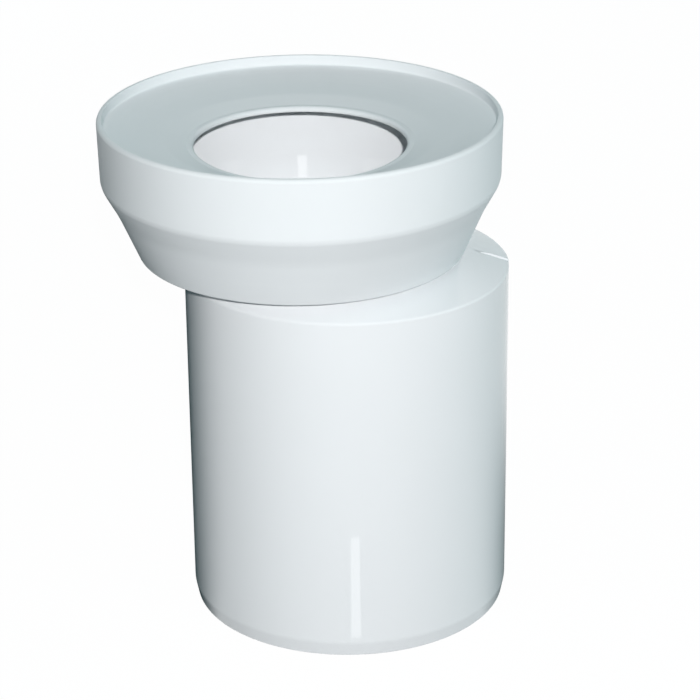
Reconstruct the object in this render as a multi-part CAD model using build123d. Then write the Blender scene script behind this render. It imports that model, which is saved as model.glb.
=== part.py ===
from build123d import *
from math import cos, radians, tan
import os

# Toilet pan connector with an offset socket, standing on its spigot end.
# Sizes are in millimetres. The spigot axis is Z, with its open end on Z = 0.
# The socket axis is parallel to it and lies on the -X side.

# Spigot of the rigid body
spigot_radius = 55.0
spigot_height = 121.6
body_wall = 3.0
lead_in_height = 5.0
lead_in_depth = 1.0
bore_taper_height = 2.8
bore_taper_depth = 0.2

# Sloping shoulder, throat and flared socket of the rigid body
socket_offset = 15.0
shoulder_rise = 6.3
shoulder_wall_drop = 1.8
throat_set_in = 0.6
throat_height = 2.1
base_radius = 52.5
socket_depth = 25.7
socket_wall = 3.6
flare_angle = 20.5
socket_edge_chamfer = 0.8

# Skirt of the soft seal, which wraps the flared socket
seat_clearance = 0.1
foot_drop = 1.85
foot_wall = 3.1
foot_edge_chamfer = 0.8
facet_drop = 9.0
facet_wall = 4.1
facet_edge_bevel = 1.0
band_drop = 2.0
band_edge_wall = 5.6
band_edge_bevel = 0.8

# Band, rim and seat ledge of the soft seal
band_height = 21.4
band_draft = 0.5
band_wall = 3.5
rim_edge_size = 1.5
rim_land_width = 0.4
rim_depth = 3.5
ledge_width = 2.0
ledge_height = 2.0

# Membrane and lip of the soft seal
membrane_thickness = 2.0
membrane_fall = 5.1
ring_width = 8.5
ring_fall = 1.35
lip_radius = 35.6
lip_land_width = 3.6
lip_height = 1.25
lip_edge_chamfer = 0.6

# Levels and radii that follow from the sizes above
throat_level = spigot_height + shoulder_rise
base_level = throat_level + throat_height
socket_level = base_level + socket_depth
floor_level = base_level + body_wall
foot_level = base_level - foot_drop
band_level = socket_level - band_drop
facet_level = band_level - facet_drop
rim_level = band_level + band_height
seat_level = socket_level + seat_clearance
bore_radius = spigot_radius - body_wall
bore_end_radius = bore_radius - bore_taper_depth
bore_end = spigot_height - shoulder_wall_drop
bore_depth = bore_end - bore_taper_height
flare_slope = tan(radians(flare_angle))

# Seen along the axes, the throat lies inside both the spigot and the seal's foot
foot_inside = base_radius - foot_drop * flare_slope
throat_left = throat_set_in - spigot_radius
throat_right = foot_inside - socket_offset - throat_set_in
throat_x = (throat_left + throat_right) / 2
throat_radius = (throat_right - throat_left) / 2
throat_bore_radius = throat_radius - body_wall


def flare_radius(level):
    """Outer radius of the flared socket at a level."""
    return base_radius + (level - base_level) * flare_slope


def disc(x, radius, level):
    """Flat disc on an axis parallel to Z."""
    return Pos(x, 0, level) * Circle(radius)


def revolved(points):
    """Solid of revolution about Z of a closed outline."""
    with BuildPart() as solid:
        with BuildSketch(Plane.XZ):
            with BuildLine():
                Polyline(*points, close=True)
            make_face()
        revolve(axis=Axis.Z)
    return solid.part


def bevelled(before, corner, after, size):
    """The two points that cut off an outline's corner, at a distance along its sides."""
    turn = Vector(*corner)
    cuts = [turn + (Vector(*end) - turn).normalized() * size for end in (before, after)]
    return [(cut.X, cut.Y) for cut in cuts]


def body_outside():
    """Spigot with its lead-in, sloping shoulder, throat and flared socket, filled."""
    spigot = revolved(
        [
            (0, 0),
            (spigot_radius - lead_in_depth, 0),
            (spigot_radius, lead_in_height),
            (spigot_radius, spigot_height),
            (0, spigot_height),
        ]
    )
    spigot_end = disc(0, spigot_radius, spigot_height)
    throat_start = disc(throat_x, throat_radius, throat_level)
    throat_end = disc(throat_x, throat_radius, base_level)
    socket_base = disc(-socket_offset, base_radius, base_level)
    socket_end = disc(-socket_offset, flare_radius(socket_level), socket_level)
    shoulder = loft([spigot_end, throat_start], ruled=True)
    throat = loft([throat_start, throat_end], ruled=True)
    socket = loft([socket_base, socket_end], ruled=True)
    return spigot + shoulder + throat + socket


def body_passage():
    """Bore, sloping way to the throat and flared mouth that the water runs through."""
    bore = revolved(
        [
            (0, 0),
            (bore_radius, 0),
            (bore_radius, bore_depth),
            (bore_end_radius, bore_end),
            (0, bore_end),
        ]
    )
    bore_top = disc(0, bore_end_radius, bore_end)
    throat_start = disc(throat_x, throat_bore_radius, throat_level - shoulder_wall_drop)
    throat_end = disc(throat_x, throat_bore_radius, floor_level)
    mouth_floor = disc(-socket_offset, flare_radius(floor_level) - socket_wall, floor_level)
    mouth_end = disc(-socket_offset, flare_radius(socket_level) - socket_wall, socket_level)
    slope = loft([bore_top, throat_start], ruled=True)
    throat = loft([throat_start, throat_end], ruled=True)
    mouth = loft([mouth_floor, mouth_end], ruled=True)
    return bore + slope + throat + mouth


def pipe_body():
    """Rigid moulding with an even wall and a chamfered socket edge."""
    body = body_outside() - body_passage()
    socket_edges = body.edges().filter_by(GeomType.CIRCLE).group_by(Axis.Z)[-1]
    return chamfer(socket_edges, socket_edge_chamfer)


def pan_seal():
    """Soft moulding: foot, cone, band, upright rim, membrane and lip."""
    across = seat_clearance / cos(radians(flare_angle))
    band_edge = flare_radius(band_level) + band_edge_wall
    rim = band_edge + band_draft
    rim_turn = rim_edge_size * (1 - cos(radians(45)))
    rim_inside = rim - rim_edge_size - rim_land_width
    cavity = rim - band_wall
    ledge = flare_radius(socket_level) - ledge_width
    ring = lip_radius + ring_width
    sill_level = rim_level - rim_depth
    ring_level = sill_level - membrane_fall
    lip_level = ring_level - ring_fall

    foot = flare_radius(foot_level) + foot_wall
    foot_corner = (foot, foot_level + foot_edge_chamfer)
    facet_corner = (flare_radius(facet_level) + facet_wall, facet_level)
    band_corner = (band_edge, band_level)
    rim_corner = (rim, rim_level - rim_edge_size)
    outline = [
        (flare_radius(foot_level) + across, foot_level),
        (foot - foot_edge_chamfer, foot_level),
        foot_corner,
        *bevelled(foot_corner, facet_corner, band_corner, facet_edge_bevel),
        *bevelled(facet_corner, band_corner, rim_corner, band_edge_bevel),
        rim_corner,
        (rim - rim_turn, rim_level - rim_turn),
        (rim - rim_edge_size, rim_level),
        (rim_inside, rim_level),
        (rim_inside, sill_level),
        (ring, ring_level),
        (lip_radius + lip_land_width, lip_level),
        (lip_radius + lip_edge_chamfer, lip_level),
        (lip_radius, lip_level - lip_edge_chamfer),
        (lip_radius, lip_level - lip_height),
        (ring, ring_level - membrane_thickness),
        (cavity, sill_level - membrane_thickness),
        (cavity, seat_level + ledge_height),
        (ledge, seat_level + ledge_height),
        (ledge, seat_level),
        (flare_radius(seat_level) + across, seat_level),
    ]
    return Pos(-socket_offset, 0, 0) * revolved(outline)


os.makedirs("parts", exist_ok=True)
export_step(pipe_body(), "parts/pipe_body.step")
export_step(pan_seal(), "parts/pan_seal.step")
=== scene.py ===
import math
from collections import namedtuple

import bmesh
import bpy
from bpy.props import FloatProperty, FloatVectorProperty, IntProperty, PointerProperty
from mathutils import Matrix, Vector


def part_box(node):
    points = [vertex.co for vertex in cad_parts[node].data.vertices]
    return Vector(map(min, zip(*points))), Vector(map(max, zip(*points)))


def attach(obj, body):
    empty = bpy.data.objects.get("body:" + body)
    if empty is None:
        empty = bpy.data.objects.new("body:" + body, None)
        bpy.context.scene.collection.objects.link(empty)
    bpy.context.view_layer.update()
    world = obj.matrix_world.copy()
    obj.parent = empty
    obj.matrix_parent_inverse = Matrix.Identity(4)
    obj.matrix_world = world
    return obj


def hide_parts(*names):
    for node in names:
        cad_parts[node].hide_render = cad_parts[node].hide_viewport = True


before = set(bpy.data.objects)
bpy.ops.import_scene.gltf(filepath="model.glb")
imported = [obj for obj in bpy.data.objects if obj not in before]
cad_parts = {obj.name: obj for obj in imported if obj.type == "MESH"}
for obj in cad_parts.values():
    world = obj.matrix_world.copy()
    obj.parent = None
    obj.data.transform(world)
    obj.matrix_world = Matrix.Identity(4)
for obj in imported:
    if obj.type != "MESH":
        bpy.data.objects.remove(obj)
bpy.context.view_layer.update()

bl_info = {
    "name": "Offset Pan Connector",
    "version": (1, 0, 0),
    "blender": (4, 5, 0),
    "location": "View3D > Sidebar > Connector",
    "description": "Models a toilet pan connector with an offset socket around its CAD frame",
    "category": "Object",
}

# Box of the CAD model, top corner of the body's box and both corners of the seal's, in metres
BODY_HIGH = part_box("pipe_body")[1]
SEAL_LOW, SEAL_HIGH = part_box("pan_seal")

# Distance from the spigot axis to the axis of the socket and the seal
AXIS_DISTANCE = -(SEAL_LOW.x + SEAL_HIGH.x) / 2

# Edges that turn by less than this are shaded smooth
SMOOTH_ANGLE = math.radians(25)

# A rounded corner has at least this many steps, and one for every so many degrees of its turn
FEWEST_STEPS = 3
STEP_DEGREES = 9

# A point this close to a ring, an edge or the parting line, in metres, lies on it
ON_RING = 2e-5
ON_EDGE = 1e-5
ON_LINE = 1e-6

# Parting step: how far its finer faces go to each side, as a multiple of its reach,
# and how many cuts go into each long edge there
SEAM_SPREAD = 1.5
SEAM_CUTS = 5

# The lip hangs lowest in front of this share of its radius
SAG_START = 0.97

# One level circle of a shell: centre, radius, level and corner radius
Ring = namedtuple("Ring", "x radius level rounding", defaults=(0.0,))


def length(name, description, default):
    """A length in metres that a user may change."""
    return FloatProperty(
        name=name, description=description, default=default, min=0.0, precision=5, unit="LENGTH"
    )


def share(name, description, default):
    """A number from 0 to 1 that a user may change."""
    return FloatProperty(
        name=name, description=description, default=default, min=0.0, max=1.0, subtype="FACTOR"
    )


def colour(name, description, default):
    """A colour that a user may change."""
    return FloatVectorProperty(
        name=name, description=description, default=default, min=0.0, max=1.0, subtype="COLOR"
    )


def place(name, description, default):
    """A place in metres that a user may change."""
    return FloatVectorProperty(
        name=name, description=description, default=default, precision=4, subtype="TRANSLATION"
    )


def angle(name, description, degrees):
    """An angle that a user may change."""
    return FloatProperty(
        name=name, description=description, default=math.radians(degrees), unit="ROTATION"
    )


def power(name, description, default):
    """The power of a lamp in watts."""
    return FloatProperty(name=name, description=description, default=default, min=0.0, unit="POWER")


def ring_segments():
    """The number of edges around each ring of a piece."""
    return IntProperty(
        name="Segments", description="Number of edges around each ring", default=192, min=48, max=384
    )


class PipeBodySizes(bpy.types.PropertyGroup):
    """Sizes and colour of the rigid body."""

    segments: ring_segments()
    spigot_radius: length("Spigot radius", "Outer radius of the spigot", BODY_HIGH.x)
    spigot_height: length("Spigot height", "Level of the shoulder edge", 0.1216)
    wall: length("Wall", "Thickness of the moulded wall", 0.003)
    lead_in_height: length("Lead-in height", "Height of the taper at the open end", 0.005)
    lead_in_depth: length("Lead-in depth", "How far the taper draws in", 0.001)
    socket_offset: length("Socket offset", "Distance from the spigot axis to the socket's", AXIS_DISTANCE)
    throat_offset: length("Throat offset", "Distance from the spigot axis to the throat's", 0.0091)
    throat_radius: length("Throat radius", "Outer radius of the throat", 0.0453)
    throat_level: length("Throat level", "Level where the shoulder meets the throat", 0.1279)
    base_level: length("Base level", "Level of the socket's lower end", 0.1300)
    base_radius: length("Base radius", "Outer radius of the socket's lower end", 0.0525)
    socket_level: length("Socket level", "Level of the socket's edge", BODY_HIGH.z)
    socket_radius: length("Socket radius", "Outer radius of the socket's edge", 0.0621)
    mouth_radius: length("Mouth radius", "Inner radius of the socket's edge", 0.0584)
    mouth_turn_level: length("Mouth turn level", "Level where the mouth grows steeper", 0.1420)
    mouth_turn_radius: length("Mouth turn radius", "Inner radius where the mouth grows steeper", 0.0546)
    floor_level: length("Floor level", "Level of the mouth's floor", 0.1330)
    floor_radius: length("Floor radius", "Radius of the mouth's floor", 0.0511)
    slope_level: length("Slope level", "Level where the throat's inside starts to slope out", 0.1261)
    bore_level: length("Bore level", "Level where the bore ends", 0.1198)
    shoulder_round: length("Shoulder round", "Radius of the edge around the shoulder", 0.0009)
    lead_in_round: length("Lead-in round", "Radius of the edge above the taper", 0.007)
    edge_round: length("Edge round", "Radius of the socket's edges", 0.0008)
    mouth_round: length("Mouth round", "Radius of the soft turn in the mouth", 0.01)
    floor_round: length("Floor round", "Radius of the edge around the mouth's floor", 0.002)
    end_round: length("End round", "Radius of the edges at the open end", 0.0004)
    seam_width: length("Seam width", "Width of the parting step on the shoulder", 0.0004)
    seam_rise: length("Seam rise", "Height of the parting step", 0.0006)
    seam_start: length("Seam start", "Distance from the spigot axis where the step starts", 0.0455)
    seam_reach: length("Seam reach", "Distance over which the step runs out behind", 0.014)
    white: colour("White", "Colour of the glossy plastic", (0.825, 0.838, 0.855))
    roughness: share("Roughness", "Roughness of the glossy plastic", 0.05)


class PanSealSizes(bpy.types.PropertyGroup):
    """Sizes and colour of the soft seal."""

    segments: ring_segments()
    axis_offset: length("Axis offset", "Distance from the spigot axis", AXIS_DISTANCE)
    foot_level: length("Foot level", "Level of the lower edge", SEAL_LOW.z)
    foot_radius: length("Foot radius", "Outer radius of the lower edge", 0.0550)
    foot_wall: length("Foot wall", "Wall at the lower edge", 0.0030)
    facet_level: length("Facet level", "Level where the cone steepens", 0.1448)
    facet_radius: length("Facet radius", "Outer radius where the cone steepens", 0.06209)
    shoulder_level: length("Shoulder level", "Level of the band's lower edge", 0.1537)
    shoulder_radius: length("Shoulder radius", "Outer radius of the band's lower edge", 0.06696)
    rim_level: length("Rim level", "Level of the rim", SEAL_HIGH.z)
    rim_radius: length("Rim radius", "Outer radius of the rim", (SEAL_HIGH.x - SEAL_LOW.x) / 2)
    rim_width: length("Rim width", "Width of the upright rim", 0.0019)
    rim_draft: length("Rim draft", "How far the rim's inner face leans", 0.0001)
    rim_depth: length("Rim depth", "Depth of the rim's inner face", 0.0035)
    dish_radius: length("Dish radius", "Radius where the membrane grows flatter", 0.058)
    dish_fall: length("Dish fall", "Fall of the membrane's outer part", 0.0021)
    flat_radius: length("Flat radius", "Radius where the membrane grows flatter again", 0.051)
    flat_fall: length("Flat fall", "Fall of the membrane down to that radius", 0.0035)
    membrane_fall: length("Membrane fall", "Whole fall of the membrane towards the lip's ring", 0.0043)
    membrane_wall: length("Membrane wall", "Thickness of the membrane", 0.002)
    ring_radius: length("Ring radius", "Outer radius of the ring around the lip", 0.0452)
    ring_fall: length("Ring fall", "Fall of the ring towards the lip", 0.0018)
    lip_radius: length("Lip radius", "Radius of the inlet", 0.0356)
    lip_land: length("Lip land", "Width of the flat land around the inlet", 0.0025)
    lip_wall: length("Lip wall", "Height of the lip's inner face", 0.0020)
    sag_drop: length("Sag drop", "How far the lip hangs lower at the front", 0.0012)
    sag_reach: length("Sag reach", "Distance over which the sag fades out", 0.045)
    seat_level: length("Seat level", "Level of the ledge on the socket's edge", 0.1558)
    seat_radius: length("Seat radius", "Inner radius at the top of the skirt", 0.06224)
    ledge_radius: length("Ledge radius", "Inner radius of the ledge", 0.0601)
    ledge_height: length("Ledge height", "Height of the ledge", 0.002)
    cavity_radius: length("Cavity radius", "Inner radius of the band", 0.06396)
    foot_round: length("Foot round", "Radius of the foot's outer edge", 0.0012)
    facet_round: length("Facet round", "Radius of the soft turn in the cone", 0.045)
    band_round: length("Band round", "Radius of the band's lower edge", 0.0055)
    rim_round: length("Rim round", "Radius of the rim's outer edge", 0.0014)
    sill_round: length("Sill round", "Radius where the rim meets the membrane", 0.0008)
    dish_round: length("Dish round", "Radius of the soft turn in the membrane", 0.10)
    ring_round: length("Ring round", "Radius of the turn into the ring", 0.015)
    lip_round: length("Lip round", "Radius of the lip's edge", 0.0014)
    fine_round: length("Fine round", "Radius of the small edges", 0.0004)
    under_round: length("Under round", "Radius of the hollow's soft corners", 0.001)
    white: colour("White", "Colour of the soft seal", (0.82, 0.84, 0.855))
    roughness: share("Roughness", "Roughness of the soft seal", 0.48)


class StageSizes(bpy.types.PropertyGroup):
    """Camera, lamps, cards and floor."""

    lens: FloatProperty(name="Lens", description="Focal length in millimetres", default=134.1, min=20.0)
    eye: place("Eye", "Place of the camera", (0.00084, -0.82515, 0.44247))
    pitch: angle("Pitch", "How far the camera looks down", 23.1728)
    roll: angle("Roll", "Turn of the camera about its view", -0.578)
    key_place: place("Key place", "Place of the lamp above the camera", (0.038, -1.10, 0.594))
    key_power: power("Key power", "Power of the lamp above the camera", 12.8)
    side_place: place("Side place", "Place of the lamp on the right", (0.95, 0.30, 0.18))
    side_power: power("Side power", "Power of the lamp on the right", 3.6)
    back_place: place("Back place", "Place of the lamp behind", (-0.25, 0.95, 0.55))
    back_power: power("Back power", "Power of the lamp behind", 3.3)
    top_place: place("Top place", "Place of the lamp overhead", (-0.05, -0.45, 1.0))
    top_power: power("Top power", "Power of the lamp overhead", 0.6)
    slit_place: place("Slit place", "Place of the slit that shows in the mouth", (-0.017, -0.8267, 0.523))
    slit_power: power("Slit power", "Power of the slit that shows in the mouth", 0.038)
    # Glow of the floor strip that paints the highlight on the spigot
    highlight_strip_glow: FloatProperty(
        name="Streak glow",
        description="Brightness of the strip that shows on the spigot",
        default=3.3,
        min=0.0,
    )
    fill_tint: colour("Fill tint", "Colour of the lamps other than the key", (0.73, 0.96, 0.985))
    ambient: colour("Ambient", "Light from all around", (0.020, 0.055, 0.060))
    floor_white: share("Floor white", "How much of the floor's look is plain white", 0.92)


class ConnectorSettings(bpy.types.PropertyGroup):
    """All sizes and colours of the connector and its stage."""

    body: PointerProperty(type=PipeBodySizes)
    seal: PointerProperty(type=PanSealSizes)
    stage: PointerProperty(type=StageSizes)


# Shells of rings

def open_shell(name, ring, segments):
    """Adds the first ring of a shell and leaves its edges selected in edit mode."""
    bpy.ops.object.select_all(action="DESELECT")
    bpy.ops.mesh.primitive_circle_add(
        vertices=segments, radius=ring.radius, location=(ring.x, 0, ring.level)
    )
    piece = bpy.context.active_object
    piece.name = name
    piece.data.name = name
    bpy.ops.object.transform_apply(location=True, rotation=True, scale=True)
    bpy.ops.object.mode_set(mode="EDIT")
    bpy.ops.mesh.select_mode(type="EDGE")
    bpy.ops.mesh.select_all(action="SELECT")
    return piece


def draw_out(last, ring):
    """Extrudes the selected ring of edges to the place and radius of the next one."""
    shift = (ring.x - last.x, 0, ring.level - last.level)
    bpy.ops.mesh.extrude_edges_move(TRANSFORM_OT_translate={"value": shift})
    scale = ring.radius / last.radius
    centre = (ring.x, 0, ring.level)
    bpy.ops.transform.resize(value=(scale, scale, 1), center_override=centre)


def close_shell():
    """Bridges the first and the last ring and turns all faces outwards."""
    bpy.ops.mesh.select_all(action="DESELECT")
    bpy.ops.mesh.select_non_manifold(
        use_wire=False, use_multi_face=False, use_non_contiguous=False, use_verts=False
    )
    bpy.ops.mesh.bridge_edge_loops()
    bpy.ops.mesh.select_all(action="SELECT")
    bpy.ops.mesh.normals_make_consistent(inside=False)


def select_edges(piece, wanted):
    """Selects the edges whose two ends both pass a test on their place."""
    bpy.ops.mesh.select_all(action="DESELECT")
    mesh = bmesh.from_edit_mesh(piece.data)
    for edge in mesh.edges:
        edge.select_set(all(wanted(vert.co) for vert in edge.verts))
    mesh.select_flush_mode()
    bmesh.update_edit_mesh(piece.data)


def select_places(piece, wanted):
    """Selects the vertices that pass a test on their place."""
    bpy.ops.mesh.select_mode(type="VERT")
    bpy.ops.mesh.select_all(action="DESELECT")
    mesh = bmesh.from_edit_mesh(piece.data)
    for vert in mesh.verts:
        vert.select_set(not vert.hide and wanted(vert.co))
    mesh.select_flush_mode()
    bmesh.update_edit_mesh(piece.data)


def lift_part(piece, free, held, rise, reach, falloff):
    """Lifts the held part of a free region, fading out over a reach; the rest stays still."""
    select_places(piece, free)
    bpy.ops.mesh.hide(unselected=True)
    select_places(piece, held)
    bpy.ops.transform.translate(
        value=(0, 0, rise),
        use_proportional_edit=True,
        proportional_edit_falloff=falloff,
        proportional_size=reach,
    )
    bpy.ops.mesh.reveal(select=False)


def on_ring(ring, point):
    """True where a point lies on a level ring."""
    across = math.hypot(point.x - ring.x, point.y)
    return abs(across - ring.radius) < ON_RING and abs(point.z - ring.level) < ON_RING


def turn_at(before, ring, after):
    """Angle by which the outline turns at a ring, taken on the side away from the offset."""
    places = [Vector((part.x + part.radius, part.level)) for part in (before, ring, after)]
    return (places[1] - places[0]).angle(places[2] - places[1])


def round_corner(piece, before, ring, after):
    """Rounds the edges of a ring to its corner radius."""
    turn = turn_at(before, ring, after)
    steps = max(FEWEST_STEPS, math.ceil(math.degrees(turn) / STEP_DEGREES))
    select_edges(piece, lambda point: on_ring(ring, point))
    bpy.ops.mesh.bevel(offset=ring.rounding * math.tan(turn / 2), segments=steps, affect="EDGES")


def build_shell(name, rings, segments):
    """Models a closed shell from its rings, in order along the outline."""
    piece = open_shell(name, rings[0], segments)
    for last, ring in zip(rings, rings[1:]):
        draw_out(last, ring)
    close_shell()
    around = zip(rings[-1:] + rings[:-1], rings, rings[1:] + rings[:1])
    for before, ring, after in around:
        if ring.rounding:
            round_corner(piece, before, ring, after)
    return piece


def finish_shell(piece, material):
    """Leaves edit mode, smooths the surface and gives the piece its finish."""
    bpy.ops.object.mode_set(mode="OBJECT")
    bpy.ops.object.shade_smooth_by_angle(angle=SMOOTH_ANGLE)
    bpy.ops.object.modifier_add(type="WEIGHTED_NORMAL")
    piece.modifiers[-1].keep_sharp = True
    bpy.ops.object.modifier_apply(modifier=piece.modifiers[-1].name)
    piece.data.materials.clear()
    piece.data.materials.append(material)


# Rigid body

def body_rings(sizes):
    """Outline of the rigid body: up its outside, over the socket's edge and down its inside."""
    axis = -sizes.socket_offset
    bore = sizes.spigot_radius - sizes.wall
    throat_x = -sizes.throat_offset
    throat_bore = sizes.throat_radius - sizes.wall
    return [
        Ring(0, sizes.spigot_radius - sizes.lead_in_depth, 0, rounding=sizes.end_round),
        Ring(0, sizes.spigot_radius, sizes.lead_in_height, rounding=sizes.lead_in_round),
        Ring(0, sizes.spigot_radius, sizes.spigot_height, rounding=sizes.shoulder_round),
        Ring(throat_x, sizes.throat_radius, sizes.throat_level),
        Ring(throat_x, sizes.throat_radius, sizes.base_level),
        Ring(axis, sizes.base_radius, sizes.base_level),
        Ring(axis, sizes.socket_radius, sizes.socket_level, rounding=sizes.edge_round),
        Ring(axis, sizes.mouth_radius, sizes.socket_level, rounding=sizes.edge_round),
        Ring(axis, sizes.mouth_turn_radius, sizes.mouth_turn_level, rounding=sizes.mouth_round),
        Ring(axis, sizes.floor_radius, sizes.floor_level, rounding=sizes.floor_round),
        Ring(throat_x, throat_bore, sizes.floor_level, rounding=sizes.floor_round / 2),
        Ring(throat_x, throat_bore, sizes.slope_level),
        Ring(0, bore, sizes.bore_level),
        Ring(0, bore, 0, rounding=sizes.end_round),
    ]


def on_slope(sizes, point):
    """True on the part of the shoulder that lies away from the offset."""
    inner = sizes.throat_radius - sizes.throat_offset - ON_EDGE
    outer = sizes.spigot_radius + ON_EDGE
    low = sizes.spigot_height - sizes.shoulder_round
    return inner < point.x < outer and low < point.z < sizes.throat_level + ON_EDGE


def cut_slope(piece, sizes):
    """Cuts the long edges of the shoulder on both sides of the parting line."""
    def near_seam(point):
        return abs(point.y) < sizes.seam_reach * SEAM_SPREAD and on_slope(sizes, point)

    bpy.ops.mesh.select_mode(type="EDGE")
    select_edges(piece, near_seam)
    mesh = bmesh.from_edit_mesh(piece.data)
    for edge in mesh.edges:
        along = abs(edge.verts[0].co.x - edge.verts[1].co.x) > sizes.seam_reach / 2
        edge.select_set(edge.select and along)
    bpy.ops.mesh.subdivide(number_cuts=SEAM_CUTS)


def raise_seam(piece, sizes):
    """Raises the small parting step that crosses the shoulder away from the offset."""
    def on_line(point):
        return abs(point.y) < ON_LINE and on_slope(sizes, point)

    def behind(point):
        past_line = point.y > sizes.seam_width / 4 and point.x > sizes.seam_start
        return past_line and on_slope(sizes, point)

    def back_edge(point):
        return point.y < sizes.seam_width and behind(point)

    select_edges(piece, on_line)
    bpy.ops.mesh.bevel(offset=sizes.seam_width / 2, segments=1, affect="EDGES")
    lift_part(piece, behind, back_edge, sizes.seam_rise, sizes.seam_reach, "LINEAR")


class CONNECTOR_OT_pipe_body(bpy.types.Operator):
    """Models the rigid body with its rounded edges and parting step"""

    bl_idname = "connector.pipe_body"
    bl_label = "Pipe body"

    def execute(self, context):
        sizes = context.scene.connector.body
        piece = build_shell("body_shell", body_rings(sizes), sizes.segments)
        cut_slope(piece, sizes)
        raise_seam(piece, sizes)
        finish_shell(piece, glossy_plastic(sizes))
        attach(piece, "root")
        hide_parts("pipe_body")
        return {"FINISHED"}


# Soft seal

def seal_rings(sizes):
    """Outline of the soft seal: foot, cone, band, rim, membrane, lip and hollow underside."""
    axis = -sizes.axis_offset
    sill_level = sizes.rim_level - sizes.rim_depth
    rim_inside = sizes.rim_radius - sizes.rim_width
    ring_level = sill_level - sizes.membrane_fall
    lip_level = ring_level - sizes.ring_fall
    lip_bottom = lip_level - sizes.lip_wall
    ledge_top = sizes.seat_level + sizes.ledge_height
    fine = sizes.fine_round
    under = sizes.under_round
    return [
        Ring(axis, sizes.foot_radius - sizes.foot_wall, sizes.foot_level),
        Ring(axis, sizes.foot_radius, sizes.foot_level, rounding=sizes.foot_round),
        Ring(axis, sizes.facet_radius, sizes.facet_level, rounding=sizes.facet_round),
        Ring(axis, sizes.shoulder_radius, sizes.shoulder_level, rounding=sizes.band_round),
        Ring(axis, sizes.rim_radius, sizes.rim_level, rounding=sizes.rim_round),
        Ring(axis, rim_inside, sizes.rim_level, rounding=fine),
        Ring(axis, rim_inside - sizes.rim_draft, sill_level, rounding=sizes.sill_round),
        Ring(axis, sizes.dish_radius, sill_level - sizes.dish_fall, rounding=sizes.dish_round),
        Ring(axis, sizes.flat_radius, sill_level - sizes.flat_fall, rounding=sizes.dish_round),
        Ring(axis, sizes.ring_radius, ring_level, rounding=sizes.ring_round),
        Ring(axis, sizes.lip_radius + sizes.lip_land, lip_level, rounding=fine),
        Ring(axis, sizes.lip_radius, lip_level, rounding=sizes.lip_round),
        Ring(axis, sizes.lip_radius, lip_bottom, rounding=fine),
        Ring(axis, sizes.ring_radius, ring_level - sizes.membrane_wall, rounding=under),
        Ring(axis, sizes.cavity_radius, sill_level - sizes.membrane_wall, rounding=under),
        Ring(axis, sizes.cavity_radius, ledge_top, rounding=under),
        Ring(axis, sizes.ledge_radius, ledge_top, rounding=fine),
        Ring(axis, sizes.ledge_radius, sizes.seat_level, rounding=fine),
        Ring(axis, sizes.seat_radius, sizes.seat_level),
    ]


def sag_lip(piece, sizes):
    """Lets the soft lip hang a little lower at the front."""
    edge = sizes.rim_radius - sizes.rim_width - sizes.rim_draft - sizes.sill_round
    lowest = sizes.seat_level + sizes.ledge_height + sizes.under_round

    def on_membrane(point):
        return math.hypot(point.x + sizes.axis_offset, point.y) < edge and point.z > lowest

    def on_front(point):
        across = math.hypot(point.x + sizes.axis_offset, point.y)
        in_front = point.y < -SAG_START * sizes.lip_radius
        return in_front and across < sizes.lip_radius + sizes.lip_land

    lift_part(piece, on_membrane, on_front, -sizes.sag_drop, sizes.sag_reach, "SMOOTH")


class CONNECTOR_OT_pan_seal(bpy.types.Operator):
    """Models the soft seal with its rounded rim, membrane and lip"""

    bl_idname = "connector.pan_seal"
    bl_label = "Pan seal"

    def execute(self, context):
        sizes = context.scene.connector.seal
        piece = build_shell("seal_skin", seal_rings(sizes), sizes.segments)
        sag_lip(piece, sizes)
        finish_shell(piece, soft_seal(sizes))
        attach(piece, "root")
        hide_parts("pan_seal")
        return {"FINISHED"}


# Finishes

# Noise lies around this value
NOISE_MIDDLE = 0.5

# Sockets of the Mix node that carry its factor and its colours
MIX_FACTOR = 0
MIX_FIRST = 6
MIX_SECOND = 7
MIX_RESULT = 2

# Glossy plastic: sizes of its patterns in metres, and how strongly each one shows
FLOW_SIZE = 0.035
FLOW_ROUGHNESS = 0.05
LINE_SIZE = 0.0016
LINE_STRETCH = (1, 1, 0.03)
LINE_ROUGHNESS = 0.04
LINE_HEIGHT = 0.012
RIPPLE_SIZE = 0.022
RIPPLE_HEIGHT = 0.7
PLASTIC_DARK = 0.985
PLASTIC_LIGHT = 1.012
PLASTIC_IOR = 1.49

# Soft seal: sizes of its patterns in metres, and how strongly each one shows
MOTTLE_SIZE = 0.018
MOTTLE_SHARE = 0.7
MOTTLE_ROUGHNESS = 0.12
GRAIN_SIZE = 0.0005
GRAIN_ROUGHNESS = 0.05
GRAIN_HEIGHT = 0.5
RINGS_PER_METRE = 420.0
RING_SHARE = 0.3
RING_HEIGHT = 0.5
SEAL_DARK = 0.972
SEAL_LIGHT = 1.02
SEAL_IOR = 1.45
SEAL_SPECULAR = 0.3


class Wire:
    """A socket of a node tree, with arithmetic that adds Math nodes."""

    def __init__(self, tree, socket=None):
        self.tree = tree
        self.socket = socket

    def add(self, kind, settings=None, inputs=None, output=0):
        """Adds a node, sets it up, fills its sockets and returns one of its outputs."""
        node = self.tree.nodes.new(kind)
        for name, value in (settings or {}).items():
            setattr(node, name, value)
        for name, value in (inputs or {}).items():
            if isinstance(value, Wire):
                self.tree.links.new(value.socket, node.inputs[name])
            else:
                node.inputs[name].default_value = value
        return Wire(self.tree, node.outputs[output])

    def math(self, operation, first, second):
        """Adds one Math node."""
        return self.add("ShaderNodeMath", {"operation": operation}, {0: first, 1: second})

    def __add__(self, other):
        return self.math("ADD", self, other)

    __radd__ = __add__

    def __sub__(self, other):
        return self.math("SUBTRACT", self, other)

    def __rsub__(self, other):
        return self.math("SUBTRACT", other, self)

    def __mul__(self, other):
        return self.math("MULTIPLY", self, other)

    __rmul__ = __mul__


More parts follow.
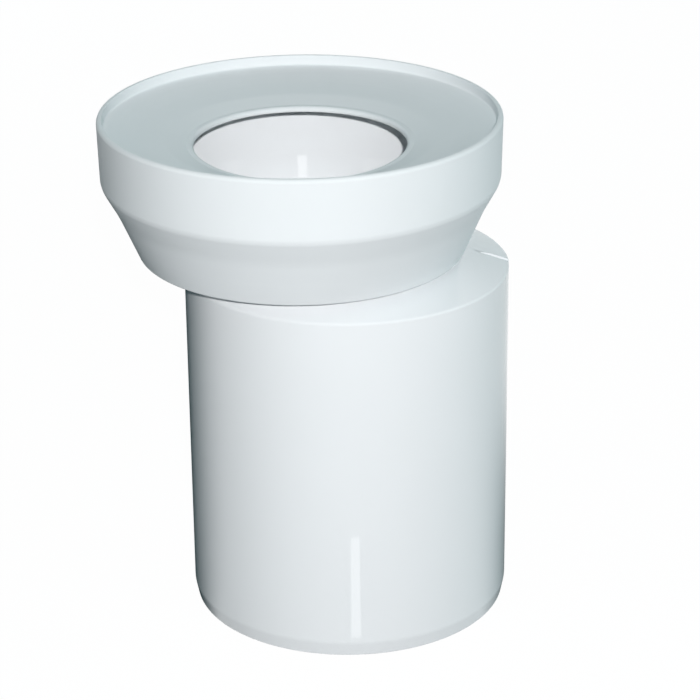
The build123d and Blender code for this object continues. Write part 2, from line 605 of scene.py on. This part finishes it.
def new_finish(name):
    """An empty material and the start of its node tree."""
    material = bpy.data.materials.new(name)
    material.use_nodes = True
    material.node_tree.nodes.clear()
    return material, Wire(material.node_tree)


def object_spot(start):
    """Object coordinates."""
    return start.add("ShaderNodeTexCoord", {}, {}, "Object")


def stretched(start, spot, scale, location=(0, 0, 0)):
    """Coordinates that are moved and stretched."""
    return start.add(
        "ShaderNodeMapping", {}, {"Vector": spot, "Location": location, "Scale": scale}, "Vector"
    )


def distance(start, spot):
    """Distance from the origin of the coordinates."""
    return start.add("ShaderNodeVectorMath", {"operation": "LENGTH"}, {0: spot}, "Value")


def cloud(start, spot, size, detail):
    """Noise from 0 to 1 with features of about a size in metres."""
    return start.add(
        "ShaderNodeTexNoise", {"noise_dimensions": "3D"},
        {"Vector": spot, "Scale": 1 / size, "Detail": detail}, "Fac",
    )


def centred(noise):
    """Noise that is moved to lie around 0."""
    return noise - NOISE_MIDDLE


def eased(start, value, low, high):
    """Smooth ramp from 0 at a low value to 1 at a high one."""
    return start.add(
        "ShaderNodeMapRange", {"interpolation_type": "SMOOTHSTEP"},
        {"Value": value, "From Min": low, "From Max": high}, "Result",
    )


def shaded(white, factor):
    """A colour scaled by a factor, with full alpha."""
    return tuple(part * factor for part in white) + (1.0,)


def tinted(start, factor, first, second):
    """Blend of two colours."""
    inputs = {MIX_FACTOR: factor, MIX_FIRST: first, MIX_SECOND: second}
    return start.add("ShaderNodeMix", {"data_type": "RGBA"}, inputs, MIX_RESULT)


def bumped(start, height, strength, depth):
    """Normal of a surface with a fine relief."""
    inputs = {"Strength": strength, "Distance": depth, "Height": height}
    return start.add("ShaderNodeBump", {}, inputs, "Normal")


def moulded(start, inputs):
    """Surface of a moulding."""
    return start.add("ShaderNodeBsdfPrincipled", {}, inputs, "BSDF")


def glowing(start, tint, strength):
    """Surface that gives off light of one colour."""
    return start.add("ShaderNodeEmission", {}, {"Color": tint, "Strength": strength}, "Emission")


def mixed(start, factor, first, second):
    """Blend of two surfaces."""
    return start.add("ShaderNodeMixShader", {}, {0: factor, 1: first, 2: second}, "Shader")


def use_surface(start, surface):
    """Joins a surface to the material's output."""
    node = start.tree.nodes.new("ShaderNodeOutputMaterial")
    start.tree.links.new(surface.socket, node.inputs["Surface"])


def glossy_plastic(sizes):
    """Polished white moulding with soft flow clouds and faint draw lines along the spigot."""
    material, start = new_finish("glossy_white_plastic")
    spot = object_spot(start)
    flow = cloud(start, spot, FLOW_SIZE, detail=2.0)
    lines = cloud(start, stretched(start, spot, LINE_STRETCH), LINE_SIZE, detail=2.0)
    ripple = cloud(start, spot, RIPPLE_SIZE, detail=1.0)
    base = tinted(start, flow, shaded(sizes.white, PLASTIC_DARK), shaded(sizes.white, PLASTIC_LIGHT))
    roughness = sizes.roughness + FLOW_ROUGHNESS * centred(flow) + LINE_ROUGHNESS * centred(lines)
    height = RIPPLE_HEIGHT * ripple + LINE_HEIGHT * lines
    normal = bumped(start, height, strength=0.12, depth=0.0002)
    inputs = {"Base Color": base, "Roughness": roughness, "IOR": PLASTIC_IOR, "Normal": normal}
    use_surface(start, moulded(start, inputs))
    return material


def soft_seal(sizes):
    """Satin white soft moulding with a fine grain, slight mottling and faint rings of flow."""
    material, start = new_finish("satin_white_seal")
    spot = object_spot(start)
    mottle = cloud(start, spot, MOTTLE_SIZE, detail=3.0)
    grain = cloud(start, spot, GRAIN_SIZE, detail=2.0)
    level_spot = stretched(start, spot, (1, 1, 0), (sizes.axis_offset, 0, 0))
    from_axis = distance(start, level_spot)
    rings = start.add(
        "ShaderNodeTexNoise", {"noise_dimensions": "1D"},
        {"W": from_axis, "Scale": RINGS_PER_METRE, "Detail": 2.0}, "Fac",
    )
    blend = MOTTLE_SHARE * mottle + RING_SHARE * rings
    base = tinted(start, blend, shaded(sizes.white, SEAL_DARK), shaded(sizes.white, SEAL_LIGHT))
    roughness = sizes.roughness + MOTTLE_ROUGHNESS * centred(mottle) + GRAIN_ROUGHNESS * centred(grain)
    height = GRAIN_HEIGHT * grain + RING_HEIGHT * rings
    normal = bumped(start, height, strength=0.15, depth=0.00006)
    inputs = {"Base Color": base, "Roughness": roughness, "IOR": SEAL_IOR, "Normal": normal}
    inputs["Specular IOR Level"] = SEAL_SPECULAR
    use_surface(start, moulded(start, inputs))
    return material


# Stage

WHITE = (1, 1, 1, 1)
WHITE_LIGHT = (1, 1, 1)
# Dark cool colour that the cards and the sheet give off as painted shade in the gloss
PAINTED_SHADE_TINT = (0.01, 0.03, 0.035, 1)

# Floor: its side and the size of its clouds in metres, its paper's two shades and its seen brightness
FLOOR_SIDE = 8.0
FLOOR_CLOUD = 0.6
PAPER_DARK = (0.27, 0.29, 0.30, 1)
PAPER_LIGHT = (0.30, 0.31, 0.32, 1)
FLOOR_GLOW = 1.065

# Cards on the floor: their level and their side
CARD_LEVEL = 0.0005
CARD_SIDE = 0.6

# A dark card, painted shade in the gloss and the bounce light: the corner nearest the object, its
# strength, the turn in degrees about that corner over which it grows in, and the distances between which
# it fades out
ShadeCard = namedtuple("ShadeCard", "name corner strength soft_turn fade_near fade_far")
SHADE_CARDS = (
    ShadeCard("left_shade_card", (-0.040, -0.03), strength=1.0, soft_turn=48, fade_near=0.40, fade_far=0.60),
    ShadeCard("right_shade_card", (0.040, -0.03), strength=0.85, soft_turn=60, fade_near=0.05, fade_far=0.24),
)

# Ends of the glowing strip that paints the spigot's highlight: their place along Y and their two sides
# along X
StripEnd = namedtuple("StripEnd", "y left right")
HIGHLIGHT_STRIP_NEAR = StripEnd(-0.066, left=0.0003, right=0.0053)
HIGHLIGHT_STRIP_FAR = StripEnd(-0.140, left=0.0016, right=0.0140)
HIGHLIGHT_STRIP_LEVEL = 2 * CARD_LEVEL

# Upright dark sheet behind the camera, which paints shade into the gloss of the mouth
SHEET_SIZE = (3.0, 0.9)
SHEET_PLACE = (0, -1.35, 0.70)

# Lamps: where they point, and their widths and heights
OBJECT_MIDDLE = Vector((-0.005, 0, 0.10))
KEY_SIZE = (0.02, 0.02)
SIDE_SIZE = (0.6, 0.6)
BACK_SIZE = (0.7, 0.7)
TOP_SIZE = (0.5, 0.5)
SLIT_SIZE = (0.105, 0.04)

# Camera: the width of its sensor in millimetres, and the nearest distance that it shows
SENSOR_WIDTH = 36.0
CLIP_START = 0.01


def seen_white(start):
    """1 for rays that show the background: from the camera, mirrored or passed through."""
    light_path = start.tree.nodes.new("ShaderNodeLightPath")
    names = ("Is Camera Ray", "Is Glossy Ray", "Is Transmission Ray")
    camera, glossy, passed = (Wire(start.tree, light_path.outputs[name]) for name in names)
    return camera + glossy + passed


def floor_finish(white_share):
    """Pale matt floor that is seen as white paper and still takes a shadow."""
    material, start = new_finish("pale_floor")
    tone = cloud(start, object_spot(start), FLOOR_CLOUD, detail=2.0)
    paper = tinted(start, tone, PAPER_DARK, PAPER_LIGHT)
    matt = start.add("ShaderNodeBsdfDiffuse", {}, {"Color": paper}, "BSDF")
    glow = glowing(start, WHITE, FLOOR_GLOW)
    use_surface(start, mixed(start, white_share * seen_white(start), matt, glow))
    return material


def shade_card_finish(card):
    """Painted shade that grows in over a turn about the card's corner and fades out with the distance."""
    material, start = new_finish(card.name + "_finish")
    spot = object_spot(start)
    across = start.add("ShaderNodeSeparateXYZ", {}, {"Vector": spot}, "X")
    along = start.add("ShaderNodeSeparateXYZ", {}, {"Vector": spot}, "Y")
    turn = start.math("ARCTAN2", along, start.math("ABSOLUTE", across, 0))
    grown = card.strength * eased(start, turn, 0, math.radians(card.soft_turn))
    shown = grown * (1 - eased(start, distance(start, spot), card.fade_near, card.fade_far))
    clear = start.add("ShaderNodeBsdfTransparent", {}, {}, "BSDF")
    dark = glowing(start, PAINTED_SHADE_TINT, 1.0)
    use_surface(start, mixed(start, shown, clear, dark))
    return material


def glow_finish(name, tint, strength):
    """Plain surface that gives off light of one colour."""
    material, start = new_finish(name)
    use_surface(start, glowing(start, tint, strength))
    return material


def add_plane(name, side, turn=0.0):
    """Adds a square at the origin, level unless it is turned about X."""
    bpy.ops.object.select_all(action="DESELECT")
    bpy.ops.mesh.primitive_plane_add(size=side, location=(0, 0, 0), rotation=(turn, 0, 0))
    plane = bpy.context.active_object
    plane.name = name
    return plane


def lay_floor(white_share):
    """A wide pale floor under the object."""
    floor = add_plane("studio_floor", FLOOR_SIDE)
    floor.data.materials.append(floor_finish(white_share))


def finish_card(card, material):
    """Gives a card that paints shade or a highlight its finish and hides it from the camera and from
    shadows.
    """
    card.data.materials.append(material)
    card.visible_camera = False
    card.visible_shadow = False


def lay_shade_card(card):
    """A dark card flat on the floor that paints shade, whose origin is its corner nearest the object."""
    half = CARD_SIDE / 2
    plane = add_plane(card.name, CARD_SIDE)
    plane.location = (math.copysign(half, card.corner[0]), half, 0)
    bpy.ops.object.transform_apply(location=True, rotation=True, scale=True)
    plane.location = card.corner + (CARD_LEVEL,)
    finish_card(plane, shade_card_finish(card))


def shape_strip_end(strip, start_y, end):
    """Gives the end of a strip that starts out at a place along Y its own place and width."""
    select_places(strip, lambda point: abs(point.y - start_y) < ON_EDGE)
    bpy.ops.transform.resize(value=(end.right - end.left, 1, 1), center_override=(0, 0, 0))
    middle = (end.left + end.right) / 2
    bpy.ops.transform.translate(value=(middle, end.y - start_y, HIGHLIGHT_STRIP_LEVEL))


def lay_highlight_strip(glow):
    """A glowing strip on the floor that widens towards the camera, mirrored as an upright painted
    highlight.
    """
    side = 1.0
    strip = add_plane("painted_highlight_strip", side)
    bpy.ops.object.mode_set(mode="EDIT")
    shape_strip_end(strip, side / 2, HIGHLIGHT_STRIP_NEAR)
    shape_strip_end(strip, -side / 2, HIGHLIGHT_STRIP_FAR)
    bpy.ops.object.mode_set(mode="OBJECT")
    finish_card(strip, glow_finish("painted_highlight_glow", WHITE, glow))
    strip.visible_diffuse = False


def hang_shade_sheet():
    """An upright dark sheet behind the camera that only shows in the gloss of the mouth, where it paints
    shade.
    """
    sheet = add_plane("painted_shade_sheet", 1.0, turn=math.pi / 2)
    sheet.scale = SHEET_SIZE + (1,)
    bpy.ops.object.transform_apply(location=True, rotation=True, scale=True)
    sheet.location = SHEET_PLACE
    finish_card(sheet, glow_finish("painted_shade_sheet_finish", PAINTED_SHADE_TINT, 1.0))
    sheet.visible_diffuse = False


def hang_lamp(name, spot, size, watts, tint):
    """An area lamp that faces the object and isn't mirrored in it."""
    bpy.ops.object.select_all(action="DESELECT")
    bpy.ops.object.light_add(type="AREA", location=spot)
    lamp = bpy.context.active_object
    lamp.name = name
    lamp.rotation_euler = (OBJECT_MIDDLE - Vector(spot)).to_track_quat("-Z", "Y").to_euler()
    lamp.data.shape = "RECTANGLE"
    lamp.data.size, lamp.data.size_y = size
    lamp.data.energy = watts
    lamp.data.color = tint
    lamp.visible_camera = False
    lamp.visible_glossy = False
    return lamp


def hang_lamps(stage):
    """The key lamp, three soft lamps around the object and the slit that only shows in the gloss."""
    hang_lamp("key_lamp", stage.key_place, KEY_SIZE, stage.key_power, WHITE_LIGHT)
    hang_lamp("side_lamp", stage.side_place, SIDE_SIZE, stage.side_power, stage.fill_tint)
    hang_lamp("back_lamp", stage.back_place, BACK_SIZE, stage.back_power, stage.fill_tint)
    hang_lamp("top_lamp", stage.top_place, TOP_SIZE, stage.top_power, stage.fill_tint)
    slit = hang_lamp("mouth_slit", stage.slit_place, SLIT_SIZE, stage.slit_power, WHITE_LIGHT)
    slit.visible_glossy = True
    slit.visible_diffuse = False


def light_world(ambient):
    """A white surround for rays that show it, and a dim cool one for the rest."""
    world = bpy.data.worlds.new("studio_surround")
    world.use_nodes = True
    world.node_tree.nodes.clear()
    bpy.context.scene.world = world
    start = Wire(world.node_tree)
    shade = tinted(start, seen_white(start), shaded(ambient, 1.0), WHITE)
    sky = start.add("ShaderNodeBackground", {}, {"Color": shade, "Strength": 1.0}, "Background")
    node = world.node_tree.nodes.new("ShaderNodeOutputWorld")
    world.node_tree.links.new(sky.socket, node.inputs["Surface"])


def set_camera(stage):
    """The camera at the photograph's place and angle."""
    bpy.ops.object.select_all(action="DESELECT")
    bpy.ops.object.camera_add(location=stage.eye)
    camera = bpy.context.active_object
    camera.name = "photo_camera"
    camera.data.sensor_width = SENSOR_WIDTH
    camera.data.lens = stage.lens
    camera.data.clip_start = CLIP_START
    look = Matrix.Rotation(math.pi / 2 - stage.pitch, 3, "X") @ Matrix.Rotation(stage.roll, 3, "Z")
    camera.rotation_euler = look.to_euler()
    bpy.context.scene.camera = camera


class CONNECTOR_OT_stage(bpy.types.Operator):
    """Lays the floor and the cards of painted shade and light, and sets the lamps, the surround and the
    camera
    """

    bl_idname = "connector.stage"
    bl_label = "Stage"

    def execute(self, context):
        stage = context.scene.connector.stage
        lay_floor(stage.floor_white)
        for card in SHADE_CARDS:
            lay_shade_card(card)
        lay_highlight_strip(stage.highlight_strip_glow)
        hang_shade_sheet()
        hang_lamps(stage)
        light_world(stage.ambient)
        set_camera(stage)
        context.scene.view_settings.view_transform = "Standard"
        return {"FINISHED"}


class CONNECTOR_PT_panel(bpy.types.Panel):
    """Lists the connector's pieces and their sizes"""

    bl_idname = "CONNECTOR_PT_panel"
    bl_label = "Pan connector"
    bl_space_type = "VIEW_3D"
    bl_region_type = "UI"
    bl_category = "Connector"

    def draw(self, context):
        settings = context.scene.connector
        groups = (
            (CONNECTOR_OT_pipe_body.bl_idname, settings.body),
            (CONNECTOR_OT_pan_seal.bl_idname, settings.seal),
            (CONNECTOR_OT_stage.bl_idname, settings.stage),
        )
        for operator, group in groups:
            box = self.layout.box()
            box.operator(operator)
            for name in group.__annotations__:
                box.prop(group, name)


CLASSES = (
    PipeBodySizes,
    PanSealSizes,
    StageSizes,
    ConnectorSettings,
    CONNECTOR_OT_pipe_body,
    CONNECTOR_OT_pan_seal,
    CONNECTOR_OT_stage,
    CONNECTOR_PT_panel,
)


def register():
    """Adds the classes and the settings to Blender."""
    for part in CLASSES:
        bpy.utils.register_class(part)
    bpy.types.Scene.connector = PointerProperty(type=ConnectorSettings)


def unregister():
    """Takes the settings and the classes out again."""
    del bpy.types.Scene.connector
    for part in reversed(CLASSES):
        bpy.utils.unregister_class(part)


def main():
    """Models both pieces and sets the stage."""
    register()
    bpy.ops.connector.pipe_body()
    bpy.ops.connector.pan_seal()
    bpy.ops.connector.stage()


if __name__ == "__main__":
    main()
